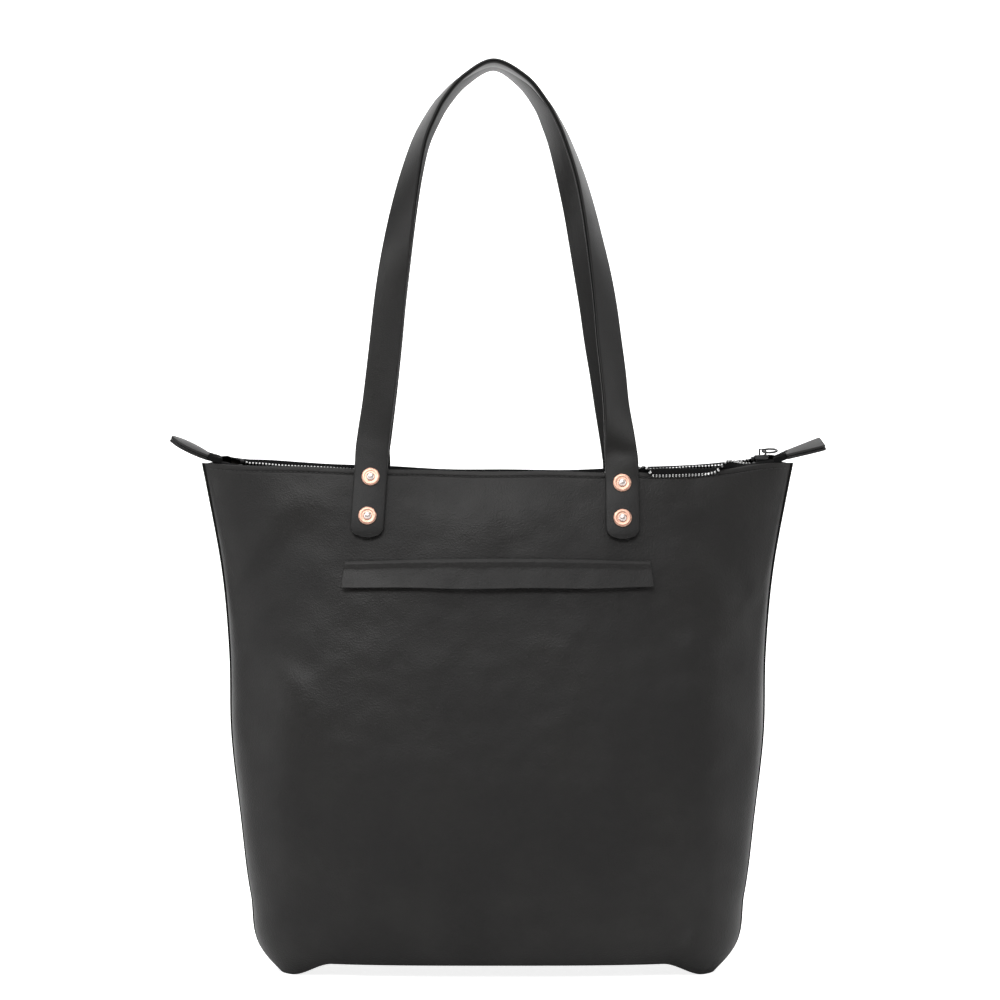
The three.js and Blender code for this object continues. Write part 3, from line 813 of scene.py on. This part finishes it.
for label, tab in TABS.items():
    for layer, height in (("top", 1.25), ("bottom", -1.25)):
        piece = tab_layer(f"{label}_tab_{layer}_leather", tab, height, TAB_LAYER, 0, STRAP_LEATHER)
        polished(piece, 0.35)
        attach(piece, label + "_tab")
        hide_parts(f"{label}_tab_{layer}")
    tail = tab_layer(f"{label}_tail", tab, 0.0, 0.5, 1.2, TAPE_CLOTH)
    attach(tail, label + "_tab")
    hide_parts(label + "_tape_tail")
    neck = tape_neck(f"{label}_tape_neck", tab)
    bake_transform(neck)


# Handles: each is one long strap of bridle leather, riveted to the wall at both ends.
# Its grain side faces out at the rivets and turns up towards the top of the arch; its edges are inked.
STRAP_WIDTH = 25.4
STRAP_THICKNESS = 3.6
END_RADIUS = 9
STRAP_OFF = 0.3

# Centre line of each leg from the rim up: x, z, distance from the middle plane, twist in degrees.
FRONT_LEGS = {
    "left": [(-95.6, 399, 23.2, 3), (-94.2, 411, 21.6, 8), (-91.2, 433, 20, 16), (-88.2, 458, 18.4, 15),
             (-85.4, 484, 16.9, 17), (-82.8, 510, 15.8, 20), (-79.7, 535, 15.1, 24), (-76, 560, 14.7, 33),
             (-71.8, 585, 14.5, 44), (-66.6, 610, 14.3, 55), (-59.4, 636, 14.2, 66), (-51, 654, 14.2, 72),
             (-41.5, 669, 14.2, 78), (-26, 684.5, 14.2, 84)],
    "right": [(93.8, 399, 23.2, 12), (92.9, 411, 21.6, 26), (90.6, 433, 20, 40), (88.2, 458, 18.4, 41),
              (85.1, 484, 16.9, 43), (82.3, 510, 15.8, 48), (78.6, 535, 15.1, 54), (74, 560, 14.7, 62),
              (68.9, 585, 14.5, 69), (62.4, 610, 14.3, 75), (53, 636, 14.2, 80), (45.6, 652, 14.2, 83),
              (37, 666, 14.2, 85), (22, 683, 14.2, 88)],
}
BACK_LEGS = {
    "left": [(-96.4, 399, 23.2, 2), (-94.8, 411, 21.6, 5), (-92, 433, 20, 9), (-89, 458, 18.4, 12),
             (-86.2, 484, 16.9, 15), (-83.6, 510, 15.8, 19), (-80.5, 535, 15.1, 24), (-76.8, 560, 14.7, 33),
             (-72.4, 585, 14.5, 44), (-67, 610, 14.3, 55), (-59.6, 636, 14.2, 66), (-51, 654, 14.2, 72),
             (-41, 669.5, 14.2, 78), (-25.5, 685.5, 14.2, 84)],
    "right": [(93.4, 399, 23.2, 2), (91.6, 411, 21.6, 4), (88, 433, 20, 5), (84.2, 458, 18.4, 8),
              (79.8, 484, 16.9, 10), (76, 510, 15.8, 14), (71.8, 535, 15.1, 18), (67.2, 560, 14.7, 26),
              (62, 585, 14.5, 36), (55.6, 610, 14.3, 46), (47.6, 636, 14.2, 58), (40.5, 653, 14.2, 66),
              (32.5, 668, 14.2, 74), (18, 685, 14.2, 82)],
}
APEXES = {-1: (-2.7, 695.2, 14.2, 90), 1: (-3.2, 696.4, 14.2, 90)}
STRAP_ENDS = {"left": ((-96, 389), (-99.4, 332.2)), "right": ((94.6, 389), (95, 331))}


def catmull(points, count):
    """Even samples of a smooth curve through points, and their distance along it."""
    points = np.array(points, float)
    ghost = np.vstack([2 * points[0] - points[1], points, 2 * points[-1] - points[-2]])
    out = []
    for i in range(1, len(ghost) - 2):
        p0, p1, p2, p3 = ghost[i - 1 : i + 3]
        for t in np.linspace(0, 1, 24, endpoint=False):
            square = 2 * p0 - 5 * p1 + 4 * p2 - p3
            cube = 3 * p1 - p0 - 3 * p2 + p3
            out.append(0.5 * (2 * p1 + (p2 - p0) * t + square * t**2 + cube * t**3))
    out.append(points[-1])
    out = np.array(out)
    length = np.concatenate([[0], np.cumsum(np.linalg.norm(np.diff(out[:, :3], axis=0), axis=1))])
    even = np.linspace(0, length[-1], count)
    return np.stack([np.interp(even, length, out[:, k]) for k in range(out.shape[1])], axis=1), even


def strap(name, legs, side, material):
    """One continuous strap from the left rivets over the arch to the right rivets."""
    controls = []
    for label in ("left", "right"):
        (top_x, top_z), (low_x, low_z) = STRAP_ENDS[label]
        wall = []
        for t in np.linspace(0, 1, 5):
            x, z = low_x + (top_x - low_x) * t, low_z + (top_z - low_z) * t
            wall.append((x, side * (support(x, z, side) + STRAP_OFF + STRAP_THICKNESS / 2), z, 0))
        leg = [(x, side * depth, z, twist) for x, z, depth, twist in legs[label]]
        controls.append(wall + leg)
    top_x, top_z, depth, twist = APEXES[side]
    apex = [(top_x, side * depth, top_z, twist)]
    path, length = catmull(controls[0] + apex + controls[1][::-1], 420)
    points, twist = path[:, :3], np.radians(path[:, 3])
    tangents = np.gradient(points, axis=0)
    tangents /= np.linalg.norm(tangents, axis=1)[:, None]
    section = []
    corner = 1.2
    for cx, cy, start in ((1, 1, 0), (-1, 1, 90), (-1, -1, 180), (1, -1, 270)):
        for a in np.linspace(start, start + 90, 5):
            section.append((cx, cy, math.cos(math.radians(a)), math.sin(math.radians(a))))
    vertices = []
    for k, (p, t, turn) in enumerate(zip(points, tangents, twist)):
        outward = np.array([-t[2], 0, t[0]])
        outward /= np.linalg.norm(outward)
        flat = np.array([0, side, 0.0])
        normal = flat * math.cos(turn) + outward * math.sin(turn)
        normal -= t * normal.dot(t)
        normal /= np.linalg.norm(normal)
        across = np.cross(t, normal)
        edge = min(length[k], length[-1] - length[k])
        half = STRAP_WIDTH / 2
        if edge < END_RADIUS:
            half -= END_RADIUS - math.sqrt(max(0, END_RADIUS**2 - (END_RADIUS - edge) ** 2))
        for cx, cy, ca, sa in section:
            u = cx * (half - corner) + corner * ca
            v = cy * (STRAP_THICKNESS / 2 - corner) + corner * sa
            crown = 0.25 * (1 - min(1, abs(u) / half) ** 2) * (1 if cy > 0 else 0)
            vertices.append(p + across * u + normal * (v + crown))
    ring_size = len(section)
    faces = []
    for k in range(len(points) - 1):
        for j in range(ring_size):
            a, b = k * ring_size + j, k * ring_size + (j + 1) % ring_size
            faces.append((a, b, b + ring_size, a + ring_size))
    faces.append(tuple(range(ring_size - 1, -1, -1)))
    last = (len(points) - 1) * ring_size
    faces.append(tuple(range(last, last + ring_size)))
    obj = add_mesh(name, vertices, faces, material, EDGE_LEATHER, angle=60)
    face_out(obj)
    for polygon in obj.data.polygons:
        j = polygon.index % ring_size
        on_side = polygon.index < ring_size * (len(points) - 1) and j in (9, 19)
        polygon.material_index = 1 if on_side else 0
    return obj


HANDLES = {
    -1: ("front", strap("front_strap", FRONT_LEGS, -1, STRAP_LEATHER)),
    1: ("back", strap("back_strap", BACK_LEGS, 1, STRAP_LEATHER)),
}
for side, (label, handle) in HANDLES.items():
    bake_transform(handle)
    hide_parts(label + "_handle_loop", label + "_strap_end_left", label + "_strap_end_right")


# Rivets and burrs: solid copper rivets set by hand, the head inside and a dished burr outside.
# The shank is peened over the burr by hammer, so each dome is slightly uneven.
COPPER = metal("copper", (0.62, 0.32, 0.23), (0.92, 0.58, 0.45), 0.32)
RIVET_POINTS = {
    "left_upper": (-96.5, 377.3),
    "left_lower": (-98.6, 347.8),
    "right_upper": (94.7, 372.8),
    "right_lower": (94.8, 346.1),
}
# Painted highlight: the rivets get a pale, almost white copper that stands in for the glint of the soft boxes
# on each dome.
PAINTED_HIGHLIGHT_COPPER = metal("copper_painted_highlight", (0.95, 0.78, 0.72), (1.0, 0.93, 0.90), 0.3)
STRAP_FACE = STRAP_OFF + STRAP_THICKNESS + 0.25

# Outlines turned about the shank: radius, and height above the face of the strap.
BURR = [
    (2.0, 0.8), (4.6, 0.15), (6.5, 0.0), (6.95, 0.35), (6.8, 0.85),
    (6.0, 1.2), (4.6, 1.05), (3.2, 0.75), (2.4, 1.2), (2.0, 1.4),
]
RIVET = [
    (0, -11.0), (4.6, -11.0), (5.0, -10.5), (5.0, -9.9), (4.7, -9.7), (1.85, -9.6),
    (1.85, 0.9), (2.8, 1.1), (3.1, 1.7), (2.7, 2.5), (1.6, 3.05), (0, 3.2),
]


def lathe(name, profile, frame_axes, material, closed, wobble):
    """Turned piece: profile of radius and height, closed back on itself or ending on the axis."""
    centre, across, up, out = frame_axes
    sides = 48
    vertices, faces, rings = [], [], []
    for radius, height in profile:
        ring_start = len(vertices)
        if radius == 0:
            vertices.append(centre + out * height)
            rings.append([ring_start] * sides)
            continue
        for k in range(sides):
            a = 2 * math.pi * k / sides
            uneven = 1 + wobble * math.sin(3 * a + radius) + 0.6 * wobble * math.sin(7 * a + 2 * height)
            spoke = across * math.cos(a) + up * math.sin(a)
            vertices.append(centre + spoke * radius * uneven + out * height)
        rings.append(list(range(ring_start, ring_start + sides)))
    pairs = list(zip(rings, rings[1:])) + ([(rings[-1], rings[0])] if closed else [])
    for low, high in pairs:
        for k in range(sides):
            corners = [low[k], low[(k + 1) % sides], high[(k + 1) % sides], high[k]]
            face = list(dict.fromkeys(corners))
            if len(face) > 2:
                faces.append(tuple(face))
    obj = add_mesh(name, vertices, faces, material, angle=40)
    face_out(obj)
    return obj


def wall_axes(x, z, side, off):
    """Place and axes of a fastener on the strap: across it, up along it and out of it."""
    slope = (support(x, z + 4, side) - support(x, z - 4, side)) / 8
    out = Vector((0, side, -slope)).normalized()
    up = Vector((0, slope * side, 1)).normalized()
    return [Vector((x, side * support(x, z, side), z)) + out * off, Vector((1, 0, 0)), up, out]


for side, label in ((-1, "front"), (1, "back")):
    for place, (x, z) in RIVET_POINTS.items():
        axes = wall_axes(x, z, side, STRAP_FACE)
        burr = lathe(f"{label}_{place}_burr", BURR, axes, COPPER, True, 0.004)
        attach(burr, "bag")
        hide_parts(f"{label}_burr_{place}")
        # Each whole rivet, dome included, takes the pale copper with the painted highlight.
        rivet = lathe(f"{label}_{place}_rivet", RIVET, axes, PAINTED_HIGHLIGHT_COPPER, False, 0.02)
        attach(rivet, "bag")
        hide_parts(f"{label}_rivet_{place}")


# Pocket: a folded leather welt over the slit, and a flat cloth pouch hanging behind it.
# The welt is sewn along its top edge only, so its lower edge stands off the wall.
FLAP_TOP = 314.2
FLAP_HEIGHT = 19.5
FLAP_THICKNESS = 2.2


def pocket_flap():
    share = np.linspace(-1, 1, 150)
    down = np.linspace(0, 1, 24)
    q, row = np.meshgrid(share, down, indexing="ij")
    x = q * (116 + 2.4 * row)
    arch = 2.4 * (1 - q**2) * (1 - row) - 1.0 * (1 - q**2) * row
    z = FLAP_TOP + arch - row * FLAP_HEIGHT + 0.35 * np.sin(x / 15) * row
    roll = 1.6 * np.exp(-(((row - 0.12) / 0.12) ** 2))
    stand = 0.4 + 3.4 * row**1.4 + 0.5 * np.sin(x / 26 + 1) * row + roll
    grids = []
    for thick in (FLAP_THICKNESS, 0):
        y = surface_y(x, z, 0, -1) - stand - thick
        grids.append(np.stack([x, y, z], axis=-1))
    return grid_solid("pocket_welt", *grids, BODY_LEATHER)


flap = polished(pocket_flap(), 0.5)
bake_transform(flap)
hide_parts("pocket_flap")

POUCH_CLOTH = woven("pouch_cloth", (0.01, 0.01, 0.012), (0.03, 0.03, 0.034))
POUCH_HALF = 112
POUCH_FLOOR_Z = 190


def pouch_layer(name, top_z, inset, gap):
    q, row = np.meshgrid(np.linspace(-1, 1, 60), np.linspace(0, 1, 50), indexing="ij")
    x = q * POUCH_HALF
    z = top_z + (POUCH_FLOOR_Z - top_z) * row
    swell = gap * (1 - q**6) * (1 - row**6) + 0.4 * np.sin(x / 13 + z / 19)
    depths = [inset + 0.5 + swell + thick for thick in (0, 0.8)]
    grids = [np.stack([x, surface_y(x, z, depth, -1), z], axis=-1) for depth in depths]
    return grid_solid(name, *grids, POUCH_CLOTH)


POUCH_LAYERS = (("pocket_front_layer", 306.3, 2.6, 0), ("pocket_back_layer", 315.7, 4.2, 3))
for node, top_z, inset, gap in POUCH_LAYERS:
    layer = pouch_layer(node + "_cloth", top_z, inset, gap)
    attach(layer, "bag")
    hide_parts(node)


# Stitching: bonded black thread, lock-stitched 4 mm below each rim, through wall, tape and facing.
# Every stitch is a short waxed lozenge lying in the sewn line; the strap ends cover two gaps in it.
def thread():
    material, tree, shader = new_material("thread")
    place = tree.nodes.new("ShaderNodeTexCoord").outputs["Object"]
    shader.inputs["Roughness"].default_value = 0.55
    fibre = noise_node(tree, 3000.0, 2.0, place)
    black = mix_colour(tree, fibre, (0.008, 0.008, 0.008), (0.03, 0.029, 0.028))
    tree.links.new(black, shader.inputs["Base Color"])
    return material


THREAD = thread()
STRAP_XS = (-96, 94.6)
STRAP_CLEARANCE = 14
SEWN_RUNS = ((-223, -97), (-97, 95), (95, 223))


def stitches(name, points, outs, length=3.1, width=0.75):
    """Row of stitches along points in mm, lying on the side given by outs."""
    points = np.array(points)
    gaps = np.concatenate([[0], np.cumsum(np.linalg.norm(np.diff(points, axis=0), axis=1))])
    blocks = []
    for s in np.arange(1.0, gaps[-1] - 1.0, length + 0.9):
        ends = [Vector([np.interp(s + d, gaps, points[:, k]) for k in range(3)]) for d in (0, length)]
        out = Vector([np.interp(s, gaps, np.array(outs)[:, k]) for k in range(3)]).normalized()
        centre = (ends[0] + ends[1]) / 2 + out * 0.15
        blocks.append(block(centre, ends[1] - ends[0], out, (length, width, 0.7), 0.5))
    return joined_blocks(name, blocks, THREAD)


for side, label in ((-1, "front"), (1, "back")):
    xs = np.linspace(-222, 222, 260)
    seam = [float(rim_z(x, side)) - SEAM_DROP for x in xs]
    line = [(x, float(surface_y(x, z, 0.3, side)), z) for x, z in zip(xs, seam)]
    keep = [p for p in line if not any(abs(p[0] - c) < STRAP_CLEARANCE for c in STRAP_XS)]
    runs = [[p for p in keep if lo < p[0] < hi] for lo, hi in SEWN_RUNS]
    for number, run in enumerate(runs):
        row = stitches(f"{label}_rim_stitches_{number}", run, [(0, side, 0)] * len(run))
        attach(row, "bag")


# Studio: white sweep, soft boxes above, in front and at both sides.
# A long lens looks level at the bag from the front.
def white_board(name, glow):
    """White paper that is bright to the lens, and gives off some light of its own."""
    material, tree, shader = new_material(name)
    shader.inputs["Base Color"].default_value = (0.92, 0.92, 0.92, 1)
    shader.inputs["Roughness"].default_value = 0.9
    shader.inputs["Specular IOR Level"].default_value = 0.1
    shader.inputs["Emission Color"].default_value = (1, 1, 1, 1)
    seen = tree.nodes.new("ShaderNodeLightPath").outputs["Is Camera Ray"]
    tree.links.new(map_value(tree, seen, glow, 0.85), shader.inputs["Emission Strength"])
    return material


def sweep():
    """White paper from the floor up into the backdrop."""
    profile = [(-3.0, 0.0), (0.9, 0.0)]
    profile += [(0.9 + 0.6 * math.sin(a), 0.6 - 0.6 * math.cos(a)) for a in np.linspace(0.1, math.pi / 2, 12)]
    profile += [(1.5, 3.0)]
    vertices = [(x, y * 1000, z * 1000) for y, z in profile for x in (-3500, 3500)]
    faces = [(2 * i, 2 * i + 1, 2 * i + 3, 2 * i + 2) for i in range(len(profile) - 1)]
    materials = [white_board("studio_floor", 0.0), white_board("studio_backdrop", 0.85)]
    board = add_mesh("studio_sweep", vertices, faces, *materials)
    for polygon in board.data.polygons:
        polygon.material_index = 1 if polygon.index > 0 else 0
    return board


floor = sweep()


def area_light(name, place, target, size, power):
    data = bpy.data.lights.new(name, "AREA")
    data.shape = "RECTANGLE"
    data.size, data.size_y = size
    data.energy = power
    light = bpy.data.objects.new(name, data)
    light.location = place
    light.rotation_euler = (Vector(target) - Vector(place)).to_track_quat("-Z", "Y").to_euler()
    bpy.context.scene.collection.objects.link(light)
    return light


area_light("top_box", (0, -0.2, 2.2), (0, 0, 0.3), (2.4, 2.0), 24)
area_light("front_box", (-0.4, -2.0, 1.75), (0, 0, 0.38), (1.8, 0.8), 22)
area_light("left_box", (-1.7, -0.7, 0.8), (0, 0, 0.3), (0.9, 1.6), 9)
area_light("right_box", (1.7, -0.6, 0.7), (0, 0, 0.3), (0.9, 1.6), 8)

world = bpy.data.worlds.new("studio")
world.use_nodes = True
world.node_tree.nodes["Background"].inputs["Color"].default_value = (1, 1, 1, 1)
world.node_tree.nodes["Background"].inputs["Strength"].default_value = 0.1
bpy.context.scene.world = world
bpy.context.scene.view_settings.view_transform = "Standard"

CAMERA_DISTANCE = 2.3
FRAME_WIDTH = 0.77
camera_data = bpy.data.cameras.new("camera")
camera_data.sensor_width = 36
camera_data.lens = 36 * CAMERA_DISTANCE / FRAME_WIDTH
camera = bpy.data.objects.new("camera", camera_data)
camera.location = (0.0019, -CAMERA_DISTANCE, 0.3606)
camera.rotation_euler = (math.pi / 2, 0, 0)
bpy.context.scene.collection.objects.link(camera)
bpy.context.scene.camera = camera
